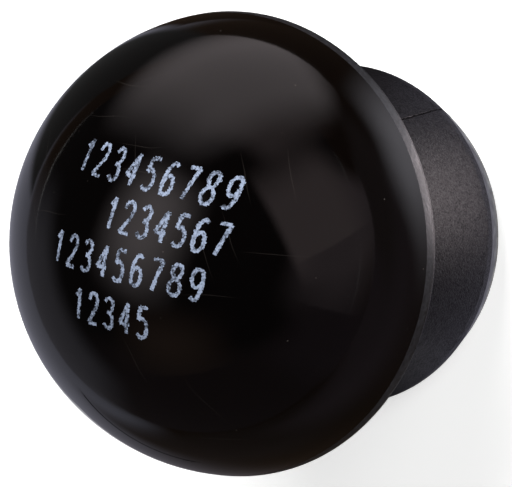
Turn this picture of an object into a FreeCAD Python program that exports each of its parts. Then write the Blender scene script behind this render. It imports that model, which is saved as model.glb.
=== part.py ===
import FreeCAD, Part
import math
import os

# Blind plug that closes an unused cable gland.
# One moulding: a domed head, and a waisted shank that the gland's seal grips.
# It stands on the flat end of its shank, with the dome up along +Z.
# The origin is the centre of that end face. All sizes are in millimetres.

# Head
head_diameter = 20.0       # across the rim, before its back edge is rounded
rim_height = 0.8           # narrow band between the head's flat back and the dome
rim_taper = 0.1            # draft of that band, on the radius
dome_height = 8.5          # from the front edge of the band to the top
back_edge_round = 0.2

# Shank
shank_length = 11.2        # from the end face to the flat back of the head
waist_diameter = 12.4
waist_length = 2.0         # straight neck next to the head
waist_root_round = 0.6
waist_bend_radius = 6.0    # where the neck turns into the flare
grip_diameter = 15.2       # widest part, which spreads the seal
grip_length = 0.4          # straight land at the widest part
lead_in_length = 1.9
lead_in_angle = 20.0       # from the axis, in degrees
end_edge_round = 0.3

head_radius = head_diameter / 2
rim_front_radius = head_radius - rim_taper
waist_radius = waist_diameter / 2
grip_radius = grip_diameter / 2
end_radius = grip_radius - lead_in_length * math.tan(math.radians(lead_in_angle))

# Heights above the end face
grip_start = lead_in_length
grip_end = grip_start + grip_length
head_back = shank_length
waist_start = head_back - waist_length
dome_start = head_back + rim_height
dome_top = dome_start + dome_height

# A round takes at most this share of the shorter side beside it.
largest_share_of_side = 0.45


def point(radius, height):
    """A point of the half outline, at a distance from the axis and a height."""
    return FreeCAD.Vector(radius, 0, height)


def corner_arc(before, corner, after, radius):
    """The start, middle and end of the tangent arc that rounds a corner."""
    to_before = before - corner
    to_after = after - corner
    half_angle = to_before.getAngle(to_after) / 2
    shorter_side = min(to_before.Length, to_after.Length)
    setback = min(radius / math.tan(half_angle), largest_share_of_side * shorter_side)
    to_before.normalize()
    to_after.normalize()
    to_centre = (to_before + to_after).normalize()
    centre_distance = setback / math.cos(half_angle)
    fitted_radius = setback * math.tan(half_angle)
    middle = corner + to_centre * (centre_distance - fitted_radius)
    return corner + to_before * setback, middle, corner + to_after * setback


def shank_and_rim_edges():
    """The outline from the centre of the end face round to the front of the rim."""
    corners = [
        (point(0, 0), 0),
        (point(end_radius, 0), end_edge_round),
        (point(grip_radius, grip_start), 0),
        (point(grip_radius, grip_end), 0),
        (point(waist_radius, waist_start), waist_bend_radius),
        (point(waist_radius, head_back), waist_root_round),
        (point(head_radius, head_back), back_edge_round),
        (point(rim_front_radius, dome_start), 0),
    ]
    edges = []
    reached = corners[0][0]
    for (before, _), (corner, radius), (after, _) in zip(corners, corners[1:], corners[2:]):
        start, middle, end = corner, corner, corner
        if radius > 0:
            start, middle, end = corner_arc(before, corner, after, radius)
            edges.append(Part.Arc(start, middle, end).toShape())
        edges.append(Part.LineSegment(reached, start).toShape())
        reached = end
    edges.append(Part.LineSegment(reached, corners[-1][0]).toShape())
    return edges


def dome_edges():
    """The dome's arc of one radius, and the axis that closes the outline."""
    radius = (rim_front_radius ** 2 + dome_height ** 2) / (2 * dome_height)
    centre_height = dome_top - radius
    edge_angle = math.atan2(dome_start - centre_height, rim_front_radius)
    half_way = (edge_angle + math.pi / 2) / 2
    rim_front = point(rim_front_radius, dome_start)
    middle = point(radius * math.cos(half_way), centre_height + radius * math.sin(half_way))
    top = point(0, dome_top)
    arc = Part.Arc(rim_front, middle, top).toShape()
    axis = Part.LineSegment(top, point(0, 0)).toShape()
    return [arc, axis]


def plug_body():
    """The whole plug: its half outline turned once round the axis."""
    edges = Part.sortEdges(shank_and_rim_edges() + dome_edges())[0]
    outline = Part.Face(Part.Wire(edges))
    return outline.revolve(point(0, 0), FreeCAD.Vector(0, 0, 1), 360)


def main():
    os.makedirs("parts", exist_ok=True)
    body = plug_body()
    body.exportStep("parts/plug_body.step")
    print("plug_body", "valid", body.isValid(), "volume", round(body.Volume, 2), "mm3")


main()
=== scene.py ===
import bpy
import math
import numpy as np
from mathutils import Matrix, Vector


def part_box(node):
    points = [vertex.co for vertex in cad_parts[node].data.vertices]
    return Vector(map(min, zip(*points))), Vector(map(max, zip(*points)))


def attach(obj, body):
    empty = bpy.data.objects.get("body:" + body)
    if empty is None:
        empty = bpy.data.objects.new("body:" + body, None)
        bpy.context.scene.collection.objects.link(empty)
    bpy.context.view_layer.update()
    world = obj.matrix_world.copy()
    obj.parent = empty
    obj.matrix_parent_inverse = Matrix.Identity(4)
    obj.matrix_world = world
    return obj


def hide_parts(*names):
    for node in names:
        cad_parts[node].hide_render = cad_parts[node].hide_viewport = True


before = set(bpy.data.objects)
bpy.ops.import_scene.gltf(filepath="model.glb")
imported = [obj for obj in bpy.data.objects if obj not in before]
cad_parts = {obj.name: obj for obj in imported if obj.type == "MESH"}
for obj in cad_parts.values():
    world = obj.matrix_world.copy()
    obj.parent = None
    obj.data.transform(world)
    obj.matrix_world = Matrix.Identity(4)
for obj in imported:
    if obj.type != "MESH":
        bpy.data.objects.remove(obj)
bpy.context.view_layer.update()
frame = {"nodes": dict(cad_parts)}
mm = 0.001
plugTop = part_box("plug_body")[1].z / mm
print("frame loaded:", ", ".join(frame["nodes"]))


# small tools

def toLinear(hexColour):
    # sRGB hex to linear red, green, blue and a full alpha
    values = np.array([int(hexColour[i:i + 2], 16) for i in (1, 3, 5)]) / 255
    curved = ((values + 0.055) / 1.055) ** 2.4
    linear = np.where(values <= 0.04045, values / 12.92, curved)
    return (*[float(v) for v in linear], 1.0)


def addNode(tree, kind, fields=None):
    # one node; a field is a setting of its own, an input's value,
    # or a socket that feeds the input
    node = tree.nodes.new(kind)
    for key, value in (fields or {}).items():
        if isinstance(value, bpy.types.NodeSocket):
            tree.links.new(value, node.inputs[key])
        elif isinstance(key, str) and hasattr(node, key):
            setattr(node, key, value)
        else:
            node.inputs[key].default_value = value
    return node


def newMaterial(name):
    # an empty material with its output, and object coordinates to build on
    material = bpy.data.materials.new(name)
    material.use_nodes = True
    tree = material.node_tree
    tree.nodes.clear()
    output = addNode(tree, "ShaderNodeOutputMaterial")
    coords = addNode(tree, "ShaderNodeTexCoord")
    return material, tree, output, coords.outputs["Object"]


def smoothStep(x, low, high):
    t = np.clip((x - low) / (high - low), 0, 1)
    return t * t * (3 - 2 * t)


def meshFrom(name, points, faces, smooth=True):
    mesh = bpy.data.meshes.new(name)
    mesh.from_pydata(points, [], faces)
    mesh.update()
    mesh.polygons.foreach_set("use_smooth", np.full(len(mesh.polygons), smooth))
    piece = bpy.data.objects.new(name, mesh)
    bpy.context.scene.collection.objects.link(piece)
    return piece


# camera, first, because the studio is set up round it

cameraView = {
    "azimuth": 47.65,       # degrees round the plug, from behind -Y
    "elevation": 58.49,
    "roll": -94.98,         # the plug lies across the picture, dome to the left
    "distance": 171.37,     # mm from the aim point
    "focalLength": 281.25,  # mm
    "sensorWidth": 36,
    "clip": (0.01, 20),     # m
    "aim": (0.956, 0.017),  # mm right of and above the middle of the head's flat back
    "backHeight": 11.2,     # mm from the end face to the head's flat back
}


def cameraAxes(view):
    # right, up and back unit vectors of the rolled camera
    a, e, r = (math.radians(view[k]) for k in ("azimuth", "elevation", "roll"))
    back = np.array([math.sin(a) * math.cos(e), -math.cos(a) * math.cos(e), math.sin(e)])
    level = np.cross([0, 0, 1], back)
    level /= np.linalg.norm(level)
    upright = np.cross(back, level)
    right = level * math.cos(r) + upright * math.sin(r)
    return right, np.cross(back, right), back


def makeCamera(view):
    right, up, back = cameraAxes(view)
    data = bpy.data.cameras.new("camera")
    data.lens = view["focalLength"]
    data.sensor_width = view["sensorWidth"]
    data.clip_start, data.clip_end = view["clip"]
    camera = bpy.data.objects.new("camera", data)
    bpy.context.scene.collection.objects.link(camera)
    aimRight, aimUp = view["aim"]
    target = np.array([0, 0, view["backHeight"]]) + right * aimRight + up * aimUp
    camera.location = (target + back * view["distance"]) * mm
    camera.rotation_mode = "QUATERNION"
    turn = np.array([right, up, back]).T
    camera.rotation_quaternion = Matrix(turn.tolist()).to_quaternion()
    bpy.context.scene.camera = camera


makeCamera(cameraView)
cameraRight, cameraUp, cameraBack = cameraAxes(cameraView)
print("camera set")


# the moulding: sizes in mm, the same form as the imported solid

plug = {
    "headRadius": 10.0,
    "rimHeight": 0.8,
    "rimTaper": 0.1,
    "shankLength": 11.2,
    "waistRadius": 6.2,
    "waistLength": 2.0,
    "gripRadius": 7.6,
    "gripLength": 0.4,
    "leadInLength": 1.9,
    "leadInAngle": 20.0,
    "backEdgeRound": 0.3,   # the moulding's is softer than the solid's
    "waistRootRound": 0.6,
    "waistBend": 6.0,
    "endEdgeRound": 0.3,
    "crispEdge": 0.05,      # how sharp the mould's corners come out
    "landEdge": 0.14,       # a little softer where the lead-in starts
    "domeRings": 66,
    "columns": 440,         # evenly spaced columns round the axis
    "seamColumns": 12,      # extra columns each side of a parting line
    "seamSpread": 0.014,    # radians that they take up
    "seamHalfWidth": 0.04,
    "seamDepth": 0.03,
    "seamStart": (5.5, 6.1),  # radii on the lead-in between which the groove deepens
    "seamShift": 0.014,     # the two slides don't quite meet
    "shiftSine": 0.002,     # how sharply one half gives way to the other
    "seamSeed": 4,
    "grainSeed": 7,
    "widestShank": 9.0,     # everything outside this radius belongs to the head
    "flatBackEnd": 9.6,     # outside this radius the head's back turns into the rim
    "rimCrown": 0.004,      # the stoned rim bulges by this much
    "grainHeight": 0.002,
    "inkFilm": 0.004,       # the dome lies this much lower, so that its ink ends at full size
}
zones = {"end": 0, "leadIn": 1, "shank": 2, "rim": 3, "dome": 4}


def cornerArc(before, corner, after, radius, steps):
    # tangent arc: turns the radius from one touching point to the other about its centre
    toBefore = (before - corner) / np.linalg.norm(before - corner)
    toAfter = (after - corner) / np.linalg.norm(after - corner)
    half = math.acos(float(toBefore @ toAfter)) / 2
    bisector = (toBefore + toAfter) / np.linalg.norm(toBefore + toAfter)
    centre = corner + bisector * radius / math.sin(half)
    setback = radius / math.tan(half)
    first = corner + toBefore * setback - centre
    last = corner + toAfter * setback - centre
    sweep = math.pi - 2 * half
    t = np.linspace(0, 1, steps + 1)[:, None]
    return centre + (np.sin((1 - t) * sweep) * first + np.sin(t * sweep) * last) / math.sin(sweep)


def halfOutline():
    # radius, height and zone of every ring, from the end face up to the dome's top
    p = plug
    endRadius = p["gripRadius"] - p["leadInLength"] * math.tan(math.radians(p["leadInAngle"]))
    gripEnd = p["leadInLength"] + p["gripLength"]
    back = p["shankLength"]
    rimFront = p["headRadius"] - p["rimTaper"]
    domeStart = back + p["rimHeight"]
    domeHeight = plugTop - domeStart
    trueRadius = (rimFront ** 2 + domeHeight ** 2) / (2 * domeHeight)
    domeCentre = plugTop - trueRadius
    domeRadius = trueRadius - p["inkFilm"]
    edgeAngle = math.asin((domeStart - domeCentre) / domeRadius)
    angles = np.linspace(edgeAngle, math.pi / 2, p["domeRings"])
    domeHeights = domeCentre + np.sin(angles) * domeRadius
    domeArc = np.stack([np.cos(angles) * domeRadius, domeHeights], 1)
    corners = [  # radius, height, round, steps in the round, rings on the way to it, zone
        (endRadius, 0.0, p["endEdgeRound"], 6, 6, "end"),
        (p["gripRadius"], p["leadInLength"], p["landEdge"], 4, 12, "leadIn"),
        (p["gripRadius"], gripEnd, p["crispEdge"], 2, 3, "shank"),
        (p["waistRadius"], back - p["waistLength"], p["waistBend"], 8, 46, "shank"),
        (p["waistRadius"], back, p["waistRootRound"], 8, 8, "shank"),
        (p["headRadius"], back, p["backEdgeRound"], 6, 10, "shank"),
        (rimFront, domeStart, p["crispEdge"], 3, 12, "rim"),
    ]
    places = [np.array([0.0, 0.0])] + [np.array(c[:2]) for c in corners] + [domeArc[2]]
    rings, ringZones = [], []
    reached = places[0]
    for before, here, after, corner in zip(places, places[1:], places[2:], corners):
        arc = cornerArc(before, here, after, corner[2], corner[3])
        share = np.linspace(0, 1, corner[4] + 1)[1:-1, None]
        rings += [reached + (arc[0] - reached) * share, arc]
        ringZones += [zones[corner[5]]] * (len(share) + len(arc))
        reached = arc[-1]
    rings.append(domeArc[2:-1])
    ringZones += [zones["dome"]] * (len(domeArc) - 3)
    outline = np.concatenate(rings)
    return outline[:, 0], outline[:, 1], np.array(ringZones), domeCentre + domeRadius


def columnAngles():
    # even columns all round, and closer ones where the two parting lines run
    p = plug
    even = np.linspace(0, 2 * math.pi, p["columns"], endpoint=False)
    near = np.linspace(-1, 1, 2 * p["seamColumns"] + 1) * p["seamSpread"]
    extra = np.concatenate([near, near + math.pi]) % (2 * math.pi)
    return np.unique(np.round(np.concatenate([even, extra]), 7))


def smoothNoise(rows, columns, cellRows, cellColumns, seed):
    # random heights on a coarse grid that closes round the axis, joined by eased steps
    random = np.random.default_rng(seed)
    coarseRows = int(rows / cellRows) + 2
    coarseColumns = max(3, int(columns / cellColumns))
    coarse = random.normal(size=(coarseRows, coarseColumns))
    r = np.linspace(0, coarseRows - 1.001, rows)
    c = np.linspace(0, coarseColumns, columns, endpoint=False)
    r0, c0 = r.astype(int), c.astype(int)
    fr = smoothStep(r - r0, 0, 1)[:, None]
    fc = smoothStep(c - c0, 0, 1)[None, :]
    c1 = (c0 + 1) % coarseColumns
    low = coarse[r0][:, c0] * (1 - fc) + coarse[r0][:, c1] * fc
    high = coarse[r0 + 1][:, c0] * (1 - fc) + coarse[r0 + 1][:, c1] * fc
    return low * (1 - fr) + high * fr


def plugSurface():
    # a point at ring t and angle a: x = r cos a, y = r sin a, z = height,
    # where r is the outline's radius less the parting lines' groove, plus the grain and
    # the rim's crown, which is rimCrown (1 - u u) with u from -1 to 1 over the rim's height;
    # each half is also moved along x by a hair, one way where y > 0, the other where y < 0
    p = plug
    radius, height, ringZone, top = halfOutline()
    angle = columnAngles()
    r = radius[:, None] + np.zeros((1, len(angle)))
    z = height[:, None] + np.zeros((1, len(angle)))
    slideZones = [zones["leadIn"], zones["shank"]]
    moulded = (np.isin(ringZone, slideZones) & (radius < p["widestShank"]))[:, None]
    fromSeam = np.abs(np.sin(angle))[None, :] * r
    ragged = 0.75 + 0.35 * smoothNoise(len(radius), 2, 2.5, 1, p["seamSeed"])[:, :1]
    groove = p["seamDepth"] * ragged * np.clip(1 - (fromSeam / p["seamHalfWidth"]) ** 2, 0, 1)
    onWall = smoothStep(radius, *p["seamStart"])[:, None]
    grain = smoothNoise(len(radius), len(angle), 1.0, 1.2, p["grainSeed"]) * p["grainHeight"]
    eroded = ((ringZone == zones["shank"]) & (radius < p["flatBackEnd"]))[:, None]
    rimLow = p["shankLength"] + p["backEdgeRound"]
    rimHigh = p["shankLength"] + p["rimHeight"]
    u = np.clip((2 * height - rimLow - rimHigh) / (rimHigh - rimLow), -1, 1)[:, None]
    crown = p["rimCrown"] * (1 - u ** 2) * (radius > p["flatBackEnd"])[:, None]
    r = r - moulded * onWall * groove + eroded * onWall * grain + crown
    side = np.tanh(np.sin(angle) / p["shiftSine"])[None, :]
    x = r * np.cos(angle) + moulded * side * p["seamShift"]
    y = r * np.sin(angle)
    return np.stack([x, y, z], 2), ringZone, top


def closedFaces(rows, columns):
    # quads between neighbouring rings, and a fan at each end round its pole
    row = np.arange(rows - 1)[:, None] * columns
    here = np.arange(columns)[None, :]
    after = (here + 1) % columns
    quads = np.stack([row + here, row + after, row + after + columns, row + here + columns], 2)
    ring = np.arange(columns)
    following = (ring + 1) % columns
    bottomPole, topPole = rows * columns, rows * columns + 1
    last = (rows - 1) * columns
    bottom = np.stack([following, ring, np.full(columns, bottomPole)], 1)
    top = np.stack([last + ring, last + following, np.full(columns, topPole)], 1)
    return quads.reshape(-1, 4), bottom, top


def makePlug():
    surface, ringZone, top = plugSurface()
    rows, columns = surface.shape[:2]
    poles = np.array([[0, 0, 0], [0, 0, top]])
    points = np.concatenate([surface.reshape(-1, 3), poles]) * mm
    quads, bottom, cap = closedFaces(rows, columns)
    faces = quads.tolist() + bottom.tolist() + cap.tolist()
    piece = meshFrom("plugBody", points.tolist(), faces)
    faceZone = np.repeat(ringZone[1:], columns)
    ends = [np.full(columns, zones["end"]), np.full(columns, zones["dome"])]
    piece.data.polygons.foreach_set("material_index", np.concatenate([faceZone, *ends]))
    return piece


# materials of the moulding; every pattern's scale is one over a real size

polyamide = {
    "black": "#020101",       # carbon black in the polymer, very slightly warm
    "worn": "#4a4541",        # scratched or dusty black
    "ior": 1.53,
    "polish": 0.07,           # roughness, and how far it wanders
    "polishSpread": 0.025,
    "satin": 0.36,
    "satinRange": (0.09, -0.07),  # added to it in the dullest and shiniest places
    "erosion": 0.5,
    "cloudSize": 2.6,         # mm, as all sizes and depths below
    "waveSize": 1.5,
    "waveDepth": 0.005,
    "polishTooth": 0.12,
    "polishToothDepth": 0.0004,
    "satinCloudSize": 0.6,
    "satinTooth": 0.13,
    "satinToothDepth": 0.012,
    "pitSize": 0.085,
    "pitDepth": 0.028,
    "blotchSize": 0.34,
    "bendSize": 3.0,          # the scratches bend by bendReach over this length
    "bendReach": 0.6,
    "scratchWidth": 0.045,    # mm, as wide as a pixel; real ones are finer
    "scratchLength": 2.6,
    "scratchGap": 5.5,        # mm between them
    "scratchTurns": (0.9, 2.1),  # radians, the two ways they run
    "scratchShow": 0.16,      # how much of the worn colour they take on
    "dustShow": 0.7,
    "wornRoughness": 0.35,    # what full wear adds
    "speckCell": 0.55,        # mm between places where dust can lie
    "speckRadius": 0.028,
    "speckRarity": 0.72,      # share of the cells that stay clean
    # the hairline of painted shade: its plane, middle, reach, fade and width
    "shadeLinePlane": (-0.1133, -0.5079, 0.854, 16.558),  # normal and distance from the origin
    "shadeLineMiddle": (-7.1, -3.9, 16.15),
    "shadeLineReach": 2.75,
    "shadeLineEnd": 0.5,         # it fades out over this length
    "shadeLineWidth": 0.11,      # drawn wide enough to show so near the edge
    "blemish": (-6.7, -6.0, 14.85),
    "blemishReach": (0.34, 0.08),  # from its faint edge to its full middle
    "fleckSize": 0.16,
    "seamWaverSize": 0.26,
    "seamWaver": 0.15,        # the lines wander by half of this to each side
    "seamDark": (0.01, 0.038),     # from the line's middle: full painted shade, and none
}


def scratchMask(tree, coords, turn):
    # long thin ellipses as seen from above, one in each stretched cell, bent by a slow noise
    p = polyamide
    bend = addNode(tree, "ShaderNodeTexNoise",
                   {"Vector": coords, "Scale": 1 / (p["bendSize"] * mm), "Detail": 1.0})
    bent = addNode(tree, "ShaderNodeVectorMath",
                   {"operation": "MULTIPLY_ADD", 0: bend.outputs["Color"],
                    1: (p["bendReach"] * mm,) * 3, 2: coords})
    slim = p["scratchWidth"] / p["scratchLength"]
    cell = p["scratchGap"] * math.sqrt(slim) * mm
    turned = addNode(tree, "ShaderNodeMapping",
                     {"Vector": bent.outputs[0], "Rotation": (0, 0, turn)})
    stretched = addNode(tree, "ShaderNodeMapping",
                        {"Vector": turned.outputs[0], "Scale": (slim / cell, 1 / cell, 0)})
    cells = addNode(tree, "ShaderNodeTexVoronoi",
                    {"voronoi_dimensions": "2D", "Vector": stretched.outputs[0], "Scale": 1.0})
    half = p["scratchWidth"] / 2 * mm / cell
    mask = addNode(tree, "ShaderNodeMapRange",
                   {"Value": cells.outputs["Distance"], "From Min": half, "From Max": 0.0})
    return mask.outputs["Result"]


def speckMask(tree, coords):
    # a dot in the middle of some of the cells
    p = polyamide
    cells = addNode(tree, "ShaderNodeTexVoronoi",
                    {"Vector": coords, "Scale": 1 / (p["speckCell"] * mm)})
    size = p["speckRadius"] / p["speckCell"]
    dot = addNode(tree, "ShaderNodeMapRange",
                  {"Value": cells.outputs["Distance"],
                   "From Min": size * 1.5, "From Max": size * 0.7})
    pick = addNode(tree, "ShaderNodeSeparateColor", {0: cells.outputs["Color"]})
    some = addNode(tree, "ShaderNodeMapRange",
                   {"Value": pick.outputs[0], "From Min": p["speckRarity"]})
    mask = addNode(tree, "ShaderNodeMath",
                   {"operation": "MULTIPLY", 0: dot.outputs["Result"], 1: some.outputs["Result"]})
    return mask.outputs[0]


def shadeLineAndBlemishMask(tree, coords):
    # the hairline of painted shade low on the dome, where a plane cuts it, and the small blemish
    # at its end
    p = polyamide
    plane = addNode(tree, "ShaderNodeVectorMath",
                    {"operation": "DOT_PRODUCT", 0: coords, 1: p["shadeLinePlane"][:3]})
    off = addNode(tree, "ShaderNodeMath",
                  {"operation": "SUBTRACT", 0: plane.outputs["Value"],
                   1: p["shadeLinePlane"][3] * mm})
    away = addNode(tree, "ShaderNodeMath", {"operation": "ABSOLUTE", 0: off.outputs[0]})
    half = p["shadeLineWidth"] / 2 * mm
    line = addNode(tree, "ShaderNodeMapRange",
                   {"Value": away.outputs[0], "From Min": half, "From Max": half * 0.3})
    middle, end = (tuple(v * mm for v in p[k]) for k in ("shadeLineMiddle", "blemish"))
    along = addNode(tree, "ShaderNodeVectorMath",
                    {"operation": "DISTANCE", 0: coords, 1: middle})
    inside = addNode(tree, "ShaderNodeMapRange",
                     {"Value": along.outputs["Value"],
                      "From Min": (p["shadeLineReach"] + p["shadeLineEnd"]) * mm,
                      "From Max": p["shadeLineReach"] * mm})
    hairline = addNode(tree, "ShaderNodeMath",
                       {"operation": "MULTIPLY", 0: line.outputs["Result"],
                        1: inside.outputs["Result"]})
    toEnd = addNode(tree, "ShaderNodeVectorMath", {"operation": "DISTANCE", 0: coords, 1: end})
    edge, full = p["blemishReach"]
    spot = addNode(tree, "ShaderNodeMapRange",
                   {"Value": toEnd.outputs["Value"], "From Min": edge * mm, "From Max": full * mm})
    flecks = addNode(tree, "ShaderNodeTexNoise",
                     {"Vector": coords, "Scale": 1 / (p["fleckSize"] * mm), "Detail": 3.0})
    patchy = addNode(tree, "ShaderNodeMapRange",
                     {"Value": flecks.outputs["Fac"], "From Min": 0.4, "From Max": 0.56})
    blemish = addNode(tree, "ShaderNodeMath",
                      {"operation": "MULTIPLY", 0: spot.outputs["Result"],
                       1: patchy.outputs["Result"]})
    mask = addNode(tree, "ShaderNodeMath",
                   {"operation": "MAXIMUM", 0: hairline.outputs[0], 1: blemish.outputs[0]})
    return mask.outputs[0]


def offSeam(tree, coords):
    # nearly 0 in the parting lines, which run down the shank in the plane y = 0
    # with uneven edges, and 1 elsewhere: painted shade in their grooves
    p = polyamide
    parts = addNode(tree, "ShaderNodeSeparateXYZ", {0: coords})
    waver = addNode(tree, "ShaderNodeTexNoise",
                    {"Vector": coords, "Scale": 1 / (p["seamWaverSize"] * mm), "Detail": 4.0})
    shift = addNode(tree, "ShaderNodeMath",
                    {"operation": "MULTIPLY_ADD", 0: waver.outputs["Fac"],
                     1: p["seamWaver"] * mm, 2: -p["seamWaver"] / 2 * mm})
    shifted = addNode(tree, "ShaderNodeMath",
                      {"operation": "ADD", 0: parts.outputs["Y"], 1: shift.outputs[0]})
    away = addNode(tree, "ShaderNodeMath", {"operation": "ABSOLUTE", 0: shifted.outputs[0]})
    dark, clear = p["seamDark"]
    mask = addNode(tree, "ShaderNodeMapRange",
                   {"Value": away.outputs[0], "From Min": dark * mm, "From Max": clear * mm,
                    "To Min": 0.05})
    return mask.outputs["Result"]


def polishedPolyamide():
    # from a polished cavity: soft mirror on black, dulled by fine scratches, dust
    # and a small blemish, with a hairline of painted shade where the gloss is switched off
    p = polyamide
    material, tree, output, coords = newMaterial("polishedPolyamide")
    oneWay, otherWay = (scratchMask(tree, coords, turn) for turn in p["scratchTurns"])
    scratches = addNode(tree, "ShaderNodeMath",
                        {"operation": "MAXIMUM", 0: oneWay, 1: otherWay})
    faint = addNode(tree, "ShaderNodeMath",
                    {"operation": "MULTIPLY", 0: scratches.outputs[0], 1: p["scratchShow"]})
    dust = addNode(tree, "ShaderNodeMath",
                   {"operation": "MULTIPLY", 0: speckMask(tree, coords), 1: p["dustShow"]})
    worn = addNode(tree, "ShaderNodeMath",
                   {"operation": "MAXIMUM", 0: faint.outputs[0], 1: dust.outputs[0]})
    colour = addNode(tree, "ShaderNodeMix",
                     {"data_type": "RGBA", 0: worn.outputs[0],
                      6: toLinear(p["black"]), 7: toLinear(p["worn"])})
    cloud = addNode(tree, "ShaderNodeTexNoise",
                    {"Vector": coords, "Scale": 1 / (p["cloudSize"] * mm), "Detail": 2.0})
    even = addNode(tree, "ShaderNodeMapRange",
                   {"Value": cloud.outputs["Fac"], "To Min": p["polish"] - p["polishSpread"],
                    "To Max": p["polish"] + p["polishSpread"]})
    rough = addNode(tree, "ShaderNodeMath",
                    {"operation": "MULTIPLY_ADD", 0: worn.outputs[0], 1: p["wornRoughness"],
                     2: even.outputs["Result"]})
    # painted shade: the gloss goes out along the hairline, and in the blemish
    shine = addNode(tree, "ShaderNodeMapRange",
                    {"Value": shadeLineAndBlemishMask(tree, coords), "To Min": 0.5, "To Max": 0.0})
    wave = addNode(tree, "ShaderNodeTexNoise",
                   {"Vector": coords, "Scale": 1 / (p["waveSize"] * mm), "Detail": 2.0})
    sink = addNode(tree, "ShaderNodeBump",
                   {"Height": wave.outputs["Fac"], "Distance": p["waveDepth"] * mm})
    tooth = addNode(tree, "ShaderNodeTexNoise",
                    {"Vector": coords, "Scale": 1 / (p["polishTooth"] * mm), "Detail": 2.0})
    normal = addNode(tree, "ShaderNodeBump",
                     {"Height": tooth.outputs["Fac"], "Distance": p["polishToothDepth"] * mm,
                      "Normal": sink.outputs["Normal"]})
    shader = addNode(tree, "ShaderNodeBsdfPrincipled",
                     {"IOR": p["ior"], "Base Color": colour.outputs[2],
                      "Roughness": rough.outputs[0],
                      "Specular IOR Level": shine.outputs["Result"],
                      "Normal": normal.outputs["Normal"]})
    tree.links.new(shader.outputs[0], output.inputs["Surface"])
    return material


def satinPolyamide(name, dark, light, shine):
    # from a stoned mould face: satin, with slow changes of gloss and a fine tooth
    # that also greys the black; on the rim the greys are painted sheen
    p = polyamide
    material, tree, output, coords = newMaterial(name)
    cloud = addNode(tree, "ShaderNodeTexNoise",
                    {"Vector": coords, "Scale": 1 / (p["satinCloudSize"] * mm), "Detail": 4.0})
    duller, shinier = p["satinRange"]
    rough = addNode(tree, "ShaderNodeMapRange",
                    {"Value": cloud.outputs["Fac"], "From Min": 0.3, "From Max": 0.7,
                     "To Min": p["satin"] + duller, "To Max": p["satin"] + shinier})
    tooth = addNode(tree, "ShaderNodeTexNoise",
                    {"Vector": coords, "Scale": 1 / (p["satinTooth"] * mm), "Detail": 3.0})
    normal = addNode(tree, "ShaderNodeBump",
                     {"Height": tooth.outputs["Fac"], "Distance": p["satinToothDepth"] * mm})
    marks = addNode(tree, "ShaderNodeMapRange",
                    {"Value": tooth.outputs["Fac"], "From Min": 0.35, "From Max": 0.65})
    colour = addNode(tree, "ShaderNodeMix",
                     {"data_type": "RGBA", 0: marks.outputs["Result"],
                      6: toLinear(dark), 7: toLinear(light)})
    shader = addNode(tree, "ShaderNodeBsdfPrincipled",
                     {"Base Color": colour.outputs[2], "IOR": p["ior"],
                      "Specular IOR Level": shine, "Roughness": rough.outputs["Result"],
                      "Normal": normal.outputs["Normal"]})
    tree.links.new(shader.outputs[0], output.inputs["Surface"])
    return material


def sparkErodedPolyamide():
    # from spark-eroded slides: matt, with a pitted grain that glitters a little
    p = polyamide
    material, tree, output, coords = newMaterial("sparkErodedPolyamide")
    pits = addNode(tree, "ShaderNodeTexNoise",
                   {"Vector": coords, "Scale": 1 / (p["pitSize"] * mm),
                    "Detail": 2.0, "Roughness": 0.7})
    normal = addNode(tree, "ShaderNodeBump",
                     {"Height": pits.outputs["Fac"], "Distance": p["pitDepth"] * mm})
    blotches = addNode(tree, "ShaderNodeTexNoise",
                       {"Vector": coords, "Scale": 1 / (p["blotchSize"] * mm), "Detail": 2.0})
    both = addNode(tree, "ShaderNodeMath",
                   {"operation": "MULTIPLY_ADD", 0: blotches.outputs["Fac"], 1: 0.3,
                    2: pits.outputs["Fac"]})
    glitter = addNode(tree, "ShaderNodeMapRange",
                      {"Value": both.outputs[0], "From Min": 0.43, "From Max": 0.88,
                       "To Min": 0.18, "To Max": 0.74})
    # the glitter goes out in the parting lines: painted shade
    level = addNode(tree, "ShaderNodeMath",
                    {"operation": "MULTIPLY", 0: glitter.outputs["Result"],
                     1: offSeam(tree, coords)})
    shader = addNode(tree, "ShaderNodeBsdfPrincipled",
                     {"Base Color": toLinear(p["black"]), "Roughness": p["erosion"],
                      "IOR": p["ior"], "Specular IOR Level": level.outputs[0],
                      "Normal": normal.outputs["Normal"]})
    tree.links.new(shader.outputs[0], output.inputs["Surface"])
    return material


body = makePlug()
eroded, polished = sparkErodedPolyamide(), polishedPolyamide()
satinFaces = {  # darkest and lightest colour, and specular level
    "leadInPolyamide": ("#020101", "#08080a", 0.24),
    # the rim's greys are painted sheen, for the light that its band catches; the tooth mottles
    # them
    "rimPolyamidePaintedSheen": ("#0c0d10", "#292a2f", 0.8),
}
leadInSatin, rimSatinPaintedSheen = (satinPolyamide(name, *face) for name, face in satinFaces.items())
for material in (eroded, leadInSatin, eroded, rimSatinPaintedSheen, polished):
    body.data.materials.append(material)
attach(body, "root")
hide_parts("plug_body")
print("plug made:", len(body.data.polygons), "faces")


# plain running numbers, pad printed on the dome

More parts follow.
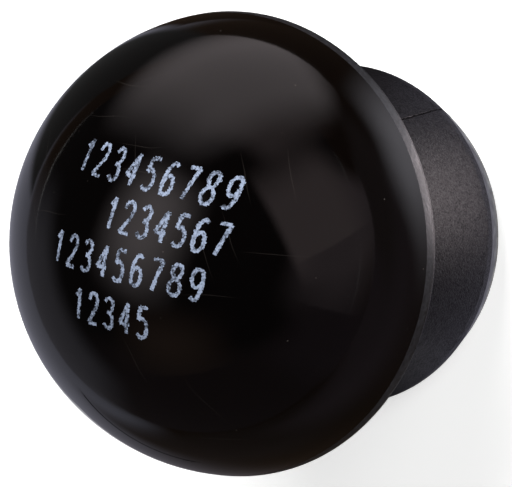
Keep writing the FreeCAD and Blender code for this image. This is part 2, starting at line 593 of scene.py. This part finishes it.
numbers = {
    "height": 1.3,          # mm
    "width": 0.46,
    "stroke": 0.15,
    "ragged": 0.018,
    "step": 0.035,          # from one ring of a stroke to the next
    "sunk": 0.02,           # the band's lower face lies inside the dome
    "slant": 0.05,
    "seed": 21,
    "curveSteps": 16,
    "black": "#1d2026",     # where the ink is worn through
    "ink": "#8f9bb2",
    "poreSize": 0.11,
    "patchSize": 0.8,
    "filmSize": 0.08,
    "filmDepth": 0.004,
    "right": (0.4927, -0.8702),   # the rows' direction as seen from above
    "rows": [  # last number, pitch, middle of the row to the right of and above the dome's top
        (9, 0.86, 0.6, 3.5),
        (7, 0.80, 1.8, 1.6),
        (9, 0.84, 0.3, -0.4),
        (5, 0.80, 0.0, -2.5),
    ],
}
digitStrokes = {  # control points in a unit box, stroke by stroke
    1: [[(0.2, 0.76), (0.4, 0.86), (0.6, 1.0)],
        [(0.6, 1.0), (0.6, 0.5), (0.6, 0.0)]],
    2: [[(0.05, 0.76), (0.2, 0.95), (0.5, 1.0), (0.85, 0.92),
         (0.95, 0.72), (0.76, 0.47), (0.35, 0.2), (0.04, 0.0)],
        [(0.04, 0.0), (0.5, 0.0), (1.0, 0.0)]],
    3: [[(0.06, 0.86), (0.42, 1.0), (0.84, 0.91), (0.88, 0.69), (0.62, 0.54), (0.36, 0.53)],
        [(0.36, 0.53), (0.76, 0.48), (0.97, 0.27), (0.84, 0.06), (0.44, 0.0), (0.04, 0.13)]],
    4: [[(0.72, 0.0), (0.72, 0.5), (0.72, 1.0)],
        [(0.72, 1.0), (0.37, 0.65), (0.02, 0.3)],
        [(0.02, 0.3), (0.5, 0.3), (1.0, 0.3)]],
    5: [[(0.92, 1.0), (0.55, 1.0), (0.18, 1.0)],
        [(0.18, 1.0), (0.15, 0.78), (0.12, 0.56)],
        [(0.12, 0.56), (0.45, 0.64), (0.84, 0.51), (0.96, 0.29),
         (0.8, 0.06), (0.4, 0.0), (0.04, 0.1)]],
    6: [[(0.86, 0.92), (0.5, 1.0), (0.15, 0.8), (0.03, 0.42), (0.15, 0.08), (0.5, 0.0),
         (0.87, 0.1), (0.96, 0.31), (0.82, 0.52), (0.5, 0.6), (0.17, 0.5), (0.04, 0.36)]],
    7: [[(0.02, 1.0), (0.5, 1.0), (0.98, 1.0)],
        [(0.98, 1.0), (0.62, 0.5), (0.38, 0.0)]],
    8: [[(0.5, 1.0), (0.84, 0.93), (0.9, 0.76), (0.73, 0.59),
         (0.5, 0.53), (0.27, 0.59), (0.1, 0.76), (0.16, 0.93)],
        [(0.5, 0.53), (0.84, 0.45), (1.0, 0.26), (0.85, 0.06),
         (0.5, 0.0), (0.15, 0.06), (0.0, 0.26), (0.16, 0.45)]],
    9: [[(0.14, 0.08), (0.5, 0.0), (0.85, 0.2), (0.97, 0.58), (0.85, 0.92), (0.5, 1.0),
         (0.13, 0.9), (0.04, 0.69), (0.18, 0.48), (0.5, 0.4), (0.83, 0.5), (0.96, 0.64)]],
}
closedDigits = (8,)  # each of its strokes is a loop


def smoothPath(points, closed):
    # Catmull-Rom curve through the points, then even steps along it
    p = np.array(points) * [numbers["width"], numbers["height"]]
    ends = [p[-1:], p[:2]] if closed else [2 * p[:1] - p[1:2], 2 * p[-1:] - p[-2:-1]]
    q = np.concatenate([ends[0], p, ends[1]])
    t = np.linspace(0, 1, numbers["curveSteps"], endpoint=False)[None, :, None]
    a, b, c, d = (q[i:len(q) - 3 + i, None, :] for i in range(4))
    square, cube = 2 * a - 5 * b + 4 * c - d, 3 * b - a - 3 * c + d
    curve = 0.5 * (2 * b + (c - a) * t + square * t ** 2 + cube * t ** 3)
    curve = np.concatenate([curve.reshape(-1, 2), q[-2:-1]])
    reach = np.concatenate([[0], np.cumsum(np.linalg.norm(np.diff(curve, axis=0), axis=1))])
    even = np.linspace(0, reach[-1], max(4, int(reach[-1] / numbers["step"])))
    return np.stack([np.interp(even, reach, curve[:, 0]), np.interp(even, reach, curve[:, 1])], 1)


def onDome(flat, lift):
    # straight down onto the full-size dome, then out along its normal
    right = np.array(numbers["right"])
    upward = np.array([-right[1], right[0]])
    xy = flat[..., :1] * right + flat[..., 1:] * upward
    rimFront = plug["headRadius"] - plug["rimTaper"]
    rise = plugTop - plug["shankLength"] - plug["rimHeight"]
    radius = (rimFront ** 2 + rise ** 2) / (2 * rise)
    z = np.sqrt(radius ** 2 - (xy ** 2).sum(-1, keepdims=True))
    normal = np.concatenate([xy, z], -1) / radius
    return np.array([0, 0, plugTop - radius]) + normal * (radius + lift)


def strokeRibbon(path, random):
    # a flat band along the path with ragged edges:
    # rings of left and right on top, right and left below
    along = np.gradient(path, axis=0)
    along /= np.linalg.norm(along, axis=1, keepdims=True)
    across = np.stack([-along[:, 1], along[:, 0]], 1)
    ragged = random.normal(size=(2, len(path), 1)) * numbers["ragged"]
    half = numbers["stroke"] / 2
    left = path + across * (half + ragged[0])
    right = path - across * (half + ragged[1])
    corners = ((left, 0.0), (right, 0.0), (right, -numbers["sunk"]), (left, -numbers["sunk"]))
    ring = np.stack([onDome(flat, lift) for flat, lift in corners], 1)
    count = len(path)
    i = np.arange(count - 1)[:, None] * 4
    j = np.arange(4)[None, :]
    k = (j + 1) % 4
    sides = np.stack([i + j, i + 4 + j, i + 4 + k, i + k], 2).reshape(-1, 4)
    last = (count - 1) * 4
    caps = [[0, 1, 2, 3], [last + 3, last + 2, last + 1, last]]
    return ring.reshape(-1, 3), np.concatenate([sides, caps])


def padInk():
    # pad-printed ink: thin and matt, so the black shows through pinholes and worn spots
    p = numbers
    material, tree, output, coords = newMaterial("padPrintedInk")
    pores = addNode(tree, "ShaderNodeTexNoise",
                    {"Vector": coords, "Scale": 1 / (p["poreSize"] * mm),
                     "Detail": 3.0, "Roughness": 0.7})
    patches = addNode(tree, "ShaderNodeTexNoise",
                      {"Vector": coords, "Scale": 1 / (p["patchSize"] * mm), "Detail": 1.0})
    cover = addNode(tree, "ShaderNodeMath",
                    {"operation": "MULTIPLY_ADD", 0: patches.outputs["Fac"], 1: 0.35,
                     2: pores.outputs["Fac"]})
    inked = addNode(tree, "ShaderNodeMapRange",
                    {"interpolation_type": "SMOOTHSTEP", "Value": cover.outputs[0],
                     "From Min": 0.5, "From Max": 0.78})
    colour = addNode(tree, "ShaderNodeMix",
                     {"data_type": "RGBA", 0: inked.outputs["Result"],
                      6: toLinear(p["black"]), 7: toLinear(p["ink"])})
    film = addNode(tree, "ShaderNodeTexNoise",
                   {"Vector": coords, "Scale": 1 / (p["filmSize"] * mm), "Detail": 2.0})
    normal = addNode(tree, "ShaderNodeBump",
                     {"Height": film.outputs["Fac"], "Distance": p["filmDepth"] * mm})
    shader = addNode(tree, "ShaderNodeBsdfPrincipled",
                     {"Roughness": 0.55, "IOR": 1.48, "Base Color": colour.outputs[2],
                      "Normal": normal.outputs["Normal"]})
    tree.links.new(shader.outputs[0], output.inputs["Surface"])
    return material


def makeNumbers():
    random = np.random.default_rng(numbers["seed"])
    points, faces, used = [], [], 0
    for last, pitch, middle, level in numbers["rows"]:
        for digit in range(1, last + 1):
            corner = np.array([middle + (digit - (last + 1) / 2) * pitch - numbers["width"] / 2,
                               level - numbers["height"] / 2])
            for controls in digitStrokes[digit]:
                path = smoothPath(controls, digit in closedDigits)
                path[:, 0] += path[:, 1] * numbers["slant"]
                ring, quads = strokeRibbon(path + corner, random)
                points.append(ring)
                faces += (quads + used).tolist()
                used += len(ring)
    corners = (np.concatenate(points) * mm).tolist()
    piece = meshFrom("printedNumbers", corners, faces, smooth=False)
    piece.data.materials.append(padInk())
    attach(piece, "root")
    print("numbers printed:", len(faces), "faces")


makeNumbers()


# studio: a pale floor, two lamps for the matt share, and boxes, sheets and flags
# that only the gloss sees

studio = {
    "floorSize": 3000.0,    # mm along each side
    "floorColour": "#f4f4f3",
    "floorDrop": 0.03,      # mm under the plug, so that the two don't share a plane
    "floorGlow": 0.46,      # near the plug, where the lamps add the rest
    "glowFrom": 110,        # mm from the plug, where it starts to rise
    "glowTo": 480,          # and where it has reached 1
    "worldLight": 0.02,     # what is left of the world and the tent where nothing is lit
    "tentSize": 2400.0,     # mm, the dark tent that only the gloss sees
    "tentBottom": -0.005,   # m, below the floor
    "frameHalf": (0.0640, 0.0609),  # half the picture, per mm of distance
    "flagGap": 1.04,        # the flag starts just outside the picture
    "flagReach": 900,       # mm from the plug, where the flag ends
    "flagLift": 0.02,       # mm
    "flagLevel": 0.045,
    "flagColour": "#ffd6b8",  # dark felt, slightly warm
    "middle": (0.0, 0.0, 10.4),  # mm, the point that lamps and boxes face
}
lamps = {  # angle, elevation and distance as polar takes them, size in mm, power in W
    "keyLamp": ((-10, 50, 320), 220, 1.35),
    "fillLamp": ((80, 40, 340), 240, 0.9),
}
boxes = {  # place, size, strength, colour, soft edges and spin, as card takes them
    "topBox": ((0, 13, 30.5), (47, 54), 0.87, "#fff2f4", (0.66, 0.7, 0.42, 0.9), -30),
    "overheadBox": ((-66, 73.6, 89.5), (128, 97), 1.05, "#fff2f4", (0.7, 1.0, 1.0, 1.0), -1),
    "sideBox": ((72, 20, 94), (130, 86), 0.46, "#ffe9ea", (0.45, 0.8, 0.77, 0.25), 13),
    "linkBox": ((22.7, 16, 74), (73, 69), 0.31, "#ffe9ea", (0.63, 0.5, 0.8, 0.6), 4),
    "lowBox": ((95, 11, 98), (161, 106), 0.30, "#ffe9f0", (1.0, 0.4, 1.0, 0.74), -23),
    "cornerBox": ((130, 13, 105), (120, 90), 0.085, "#ffe6f4", (0.7, 0.9, 0.12, 0.9), 0),
    "frontBox": ((-172, 20, 110), (290, 108), 0.06, "#ffe6ea", (0.7, 0.5, 0.1, 0.6), 0),
    "hazeBox": ((-166, 46, 108), (140, 96), 0.15, "#ffd9c4", (1.0, 1.0, 1.0, 1.0), 0),
    "leftBox": ((-106, 9, 100), (160, 66), 0.20, "#f4f0ff", (0.7, 0.6, 0.2, 0.9), 0),
}
sheets = {  # the same for those on the floor, with their height in mm at the end, by which
    # the higher ones cover the lower; a flag is a sheet that is nearly black
    "nearSheet": ((63, 0, 24.3), (33, 38), 1.15, "#f8f5ff", (0.8, 1, 1, 1), -34, 0.06),
    "rightSheet": ((118, 0, 66), (150, 100), 0.115, "#ffe6f2", (0.6, 0.8, 0.4, 0.3), -112, 0.04),
    "shankSheet": ((74, 0, 15), (14, 15), 4.9, "#fff1f4", (0.5, 0.9, 0.5, 0.8), -72, 0.08),
    "bottomSheet": ((178, 0, 66), (116, 92), 0.056, "#ffe2d6", (0.6, 0.6, 0.3, 0.1), -178, 0.03),
    "farSheet": ((72, 0, 80), (90, 104), 0.09, "#ffe9e6", (0.6, 0.6, 0.5, 0.1), -72, 0.055),
    "topFlag": ((9, 0, 12.8), (32, 14.4), 0.03, "#ffd6b8", (0.15, 0.15, 0.3, 0.1), 0, 0.045),
    "cornerFlag": ((42, 0, 13.2), (16, 9), 0.02, "#ffffff", (0.2, 0.3, 0.2, 0.2), -42, 0.05),
    "leftFlag": ((-48, 0, 68), (82, 72), 0.045, "#ffffff", (0.2, 0.1, 0.15, 0.2), -5, 0.035),
    "leftSheet": ((-115, 0, 104), (134, 205), 0.35, "#eaeaff", (0.67, 0.45, 1.0, 0.1), -32, 0.025),
}
footRing = {
    "radii": (7.1, 11.5),   # mm
    "lift": 0.1,
    "corners": 96,
    "brightSide": 88,       # degrees, as polar takes them
    "levels": (0.06, 0.6),  # on the dark side and on the bright one
    "rise": (1.0, 7.0),     # mm towards the bright side, between which it brightens
    "colour": "#e8e6ff",
}
squareCorners = ((-1, -1), (1, -1), (1, 1), (-1, 1))
behind = np.array([cameraUp[0], cameraUp[1], 0.0])
behind /= np.linalg.norm(behind)
beside = np.array([behind[1], -behind[0], 0.0])


def whereSeen(tree):
    # 1 for rays from the camera, off the gloss and through glass, 0 for those that light things
    path = addNode(tree, "ShaderNodeLightPath")
    plain = addNode(tree, "ShaderNodeMath",
                    {"operation": "ADD", 0: path.outputs["Is Camera Ray"],
                     1: path.outputs["Is Glossy Ray"]})
    seen = addNode(tree, "ShaderNodeMath",
                   {"operation": "ADD", "use_clamp": True, 0: plain.outputs[0],
                    1: path.outputs["Is Transmission Ray"]})
    return seen.outputs[0]


def makeFloor():
    half = studio["floorSize"] / 2 * mm
    corners = [(sx * half, sy * half, -studio["floorDrop"] * mm) for sx, sy in squareCorners]
    floor = meshFrom("floor", corners, [(0, 1, 2, 3)], smooth=False)
    material, tree, output, coords = newMaterial("paperFloor")
    seen = whereSeen(tree)
    away = addNode(tree, "ShaderNodeVectorMath", {"operation": "LENGTH", 0: coords})
    glowing = addNode(tree, "ShaderNodeMapRange",
                      {"Value": away.outputs["Value"],
                       "From Min": studio["glowFrom"] * mm, "From Max": studio["glowTo"] * mm,
                       "To Min": studio["floorGlow"], "To Max": 1.0})
    level = addNode(tree, "ShaderNodeMath",
                    {"operation": "MULTIPLY", 0: seen, 1: glowing.outputs["Result"]})
    paper = addNode(tree, "ShaderNodeBsdfDiffuse", {"Color": toLinear(studio["floorColour"])})
    glow = addNode(tree, "ShaderNodeEmission",
                   {"Color": toLinear("#ffffff"), "Strength": level.outputs[0]})
    both = addNode(tree, "ShaderNodeAddShader", {0: paper.outputs[0], 1: glow.outputs[0]})
    tree.links.new(both.outputs[0], output.inputs["Surface"])
    floor.data.materials.append(material)


def polar(angle, elevation, distance):
    # mm from the plug's middle; angle 0 is behind it as the camera sees it, 90 beside it
    a, e = math.radians(angle), math.radians(elevation)
    level = behind * math.cos(a) + beside * math.sin(a)
    toPlace = level * math.cos(e) + np.array([0, 0, 1]) * math.sin(e)
    return np.array(studio["middle"]) + toPlace * distance


def facing(place, spin=0.0):
    # rotation that turns a card's front, its -Z, towards the plug's middle
    look = Vector((np.array(studio["middle"]) - place).tolist())
    turn = look.to_track_quat("-Z", "Y")
    return turn @ Matrix.Rotation(math.radians(spin), 3, "Z").to_quaternion()


def plainGlow(name, colour, strength):
    # an even glow all over
    material, tree, output, coords = newMaterial(name)
    glow = addNode(tree, "ShaderNodeEmission", {"Color": toLinear(colour), "Strength": strength})
    tree.links.new(glow.outputs[0], output.inputs["Surface"])
    return material


def glossOnly(sheet):
    # hidden from all rays but those off the gloss
    sheet.visible_camera = False
    sheet.visible_diffuse = False
    sheet.visible_transmission = False
    sheet.visible_shadow = False


def ringFaces(count):
    # quads between two closed rows of points, the second row after the first
    return [(i, (i + 1) % count, (i + 1) % count + count, i + count) for i in range(count)]


def makeFlag():
    # a nearly black sheet on the floor all round the picture, for the gloss to mirror
    right, up, back = cameraRight, cameraUp, cameraBack
    eye = np.array(bpy.context.scene.camera.location) / mm
    wide, tall = studio["frameHalf"]
    inner = []
    for sx, sy in squareCorners:
        ray = (right * sx * wide + up * sy * tall) * studio["flagGap"] - back
        inner.append(eye - ray * eye[2] / ray[2])
    reach = studio["flagReach"]
    outer = [behind * sy * reach + beside * sx * reach for sx, sy in squareCorners]
    points = [(p[0] * mm, p[1] * mm, studio["flagLift"] * mm) for p in inner + outer]
    sheet = meshFrom("flag", points, ringFaces(4), smooth=False)
    felt = plainGlow("flagFelt", studio["flagColour"], studio["flagLevel"])
    sheet.data.materials.append(felt)
    glossOnly(sheet)


def card(name, polarPlace, size, strength, colour, fade, spin, floorLevel=None):
    # a reflector that only shows in the gloss: its width and depth are in mm, fade gives the
    # soft share of its half width at its -x, +x, -y and +y edges, and spin its turn in degrees;
    # it faces the plug, or lies on the floor if it has a floorLevel
    width, depth = size
    place = polar(*polarPlace)
    corners = [(sx, sy, 0) for sx, sy in squareCorners]
    sheet = meshFrom(name, corners, [(0, 3, 2, 1)], smooth=False)
    sheet.scale = (width / 2 * mm, depth / 2 * mm, 1)
    sheet.rotation_mode = "QUATERNION"
    if floorLevel is None:
        sheet.location = (place * mm).tolist()
        sheet.rotation_quaternion = facing(place, spin)
    else:
        sheet.location = (place[0] * mm, place[1] * mm, floorLevel * mm)
        turn = math.atan2(behind[1], behind[0]) - math.pi / 2 + math.radians(spin)
        sheet.rotation_quaternion = Matrix.Rotation(turn, 3, "Z").to_quaternion()
    material, tree, output, coords = newMaterial(name)
    parts = addNode(tree, "ShaderNodeSeparateXYZ", {0: coords})
    level = None
    edges = (("X", -1.0), ("X", 1.0), ("Y", -1.0), ("Y", 1.0))
    for (axis, edge), soft in zip(edges, fade):
        ramp = addNode(tree, "ShaderNodeMapRange",
                       {"interpolation_type": "SMOOTHSTEP", "Value": parts.outputs[axis],
                        "From Min": edge, "From Max": edge * (1 - soft)}).outputs["Result"]
        if level is None:
            level = ramp
        else:
            product = addNode(tree, "ShaderNodeMath", {"operation": "MULTIPLY", 0: level, 1: ramp})
            level = product.outputs[0]
    clear = addNode(tree, "ShaderNodeBsdfTransparent")
    glow = addNode(tree, "ShaderNodeEmission", {"Color": toLinear(colour), "Strength": strength})
    mixed = addNode(tree, "ShaderNodeMixShader",
                    {0: level, 1: clear.outputs[0], 2: glow.outputs[0]})
    tree.links.new(mixed.outputs[0], output.inputs["Surface"])
    sheet.data.materials.append(material)
    glossOnly(sheet)


def makeFootRing():
    # a grey ring round the foot, which the lead-in mirrors instead of the bright floor,
    # bright on the camera's side and dark on the others
    p = footRing
    angle = np.linspace(0, 2 * math.pi, p["corners"] + 1)[:-1]
    rows = [np.stack([np.cos(angle) * r, np.sin(angle) * r, angle * 0 + p["lift"]], 1)
            for r in p["radii"]]
    points = (np.concatenate(rows) * mm).tolist()
    ring = meshFrom("footRing", points, ringFaces(len(angle)), smooth=False)
    towards = polar(p["brightSide"], 0, 1) - polar(p["brightSide"], 0, 0)
    material, tree, output, coords = newMaterial("greyCard")
    ahead = addNode(tree, "ShaderNodeVectorMath",
                    {"operation": "DOT_PRODUCT", 0: coords, 1: tuple(float(v) for v in towards)})
    near, far = p["rise"]
    dark, bright = p["levels"]
    level = addNode(tree, "ShaderNodeMapRange",
                    {"interpolation_type": "SMOOTHSTEP", "Value": ahead.outputs["Value"],
                     "From Min": near * mm, "From Max": far * mm,
                     "To Min": dark, "To Max": bright})
    glow = addNode(tree, "ShaderNodeEmission",
                   {"Color": toLinear(p["colour"]), "Strength": level.outputs["Result"]})
    tree.links.new(glow.outputs[0], output.inputs["Surface"])
    ring.data.materials.append(material)
    glossOnly(ring)


def lamp(name, polarPlace, size, power):
    # lights the floor and the matt share of the plastic; the cards stand in for it in the gloss
    place = polar(*polarPlace)
    data = bpy.data.lights.new(name, "AREA")
    data.shape = "SQUARE"
    data.size = size * mm
    data.energy = power
    light = bpy.data.objects.new(name, data)
    bpy.context.scene.collection.objects.link(light)
    light.location = (place * mm).tolist()
    light.rotation_mode = "QUATERNION"
    light.rotation_quaternion = facing(place)
    light.visible_camera = False
    light.visible_glossy = False


def makeWorld():
    # white where it is seen, nearly black as a light
    world = bpy.data.worlds.new("studio")
    bpy.context.scene.world = world
    world.use_nodes = True
    tree = world.node_tree
    tree.nodes.clear()
    level = addNode(tree, "ShaderNodeMapRange",
                    {"Value": whereSeen(tree), "To Min": studio["worldLight"]})
    background = addNode(tree, "ShaderNodeBackground",
                         {"Color": toLinear("#ffffff"), "Strength": level.outputs["Result"]})
    output = addNode(tree, "ShaderNodeOutputWorld")
    tree.links.new(background.outputs[0], output.inputs["Surface"])


def makeTent():
    # a dark box round the whole studio, so that the gloss mirrors the cards and nothing else
    half = studio["tentSize"] / 2 * mm
    heights = (studio["tentBottom"], half)
    corners = [(sx * half, sy * half, z) for z in heights for sx, sy in squareCorners]
    tent = meshFrom("tent", corners, ringFaces(4) + [(4, 5, 6, 7)], smooth=False)
    tent.data.materials.append(plainGlow("tentFelt", "#ffffff", studio["worldLight"]))
    glossOnly(tent)


makeFloor()
makeWorld()
makeTent()
makeFlag()
for name, settings in lamps.items():
    lamp(name, *settings)
for name, settings in (boxes | sheets).items():
    card(name, *settings)
makeFootRing()
print("studio set")

scene = bpy.context.scene
scene.view_settings.view_transform = "Standard"
